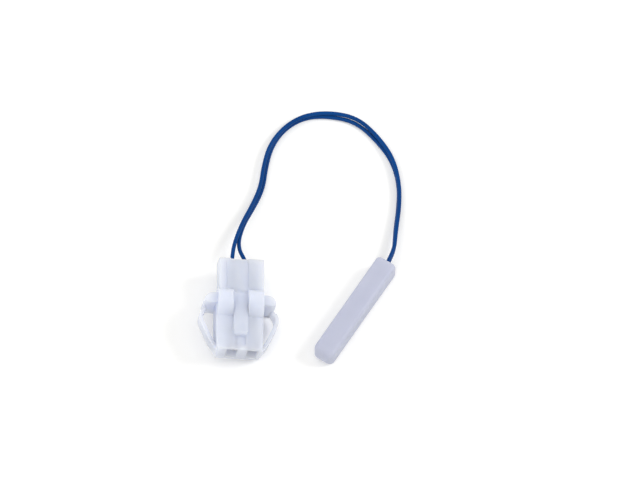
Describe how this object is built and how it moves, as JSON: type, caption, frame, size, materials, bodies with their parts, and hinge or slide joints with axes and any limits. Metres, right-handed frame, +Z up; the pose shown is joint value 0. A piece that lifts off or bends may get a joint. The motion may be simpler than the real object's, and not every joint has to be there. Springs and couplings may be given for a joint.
{
  "type": "temperature sensor",
  "caption": "Moulded bar-shaped temperature probe on two thin leads that end in a two-way panel plug with sprung side arms.",
  "frame": {"origin": "under the middle of the probe, on the surface it lies on", "axes": "+Y along the probe towards its wire end, +Z up from the surface, +X across the probe"},
  "size_m": [0.0585, 0.0959, 0.0139],
  "materials": {
    "probe_plastic": "satin moulded, pale grey with a faint lavender tint",
    "plug_plastic": "satin moulded nylon, off-white with a faint blue tint",
    "lead_insulation": "smooth extruded vinyl, strong blue",
    "resin": "cast epoxy",
    "bead_coating": "dipped epoxy, black",
    "chip_ceramic": "sintered oxide",
    "leg_metal": "tinned wire",
    "contact_metal": "tinned brass sheet",
    "sleeve": "insulating sleeve"
  },
  "bodies": {
    "root": {"probe_case": "probe_plastic", "potting_resin": "resin", "thermistor_bead": "bead_coating", "thermistor_chip": "chip_ceramic", "thermistor_leg_left": "leg_metal", "thermistor_leg_right": "leg_metal", "leg_sleeve_left": "sleeve", "leg_sleeve_right": "sleeve", "splice_left": "contact_metal", "splice_right": "contact_metal", "probe_strands_left": "leg_metal", "probe_strands_right": "leg_metal", "lead_wire_left": "lead_insulation", "lead_wire_right": "lead_insulation", "plug_strands_left": "leg_metal", "plug_strands_right": "leg_metal", "terminal_left": "contact_metal", "terminal_right": "contact_metal", "plug_housing": "plug_plastic"}
  },
  "joints": []
}
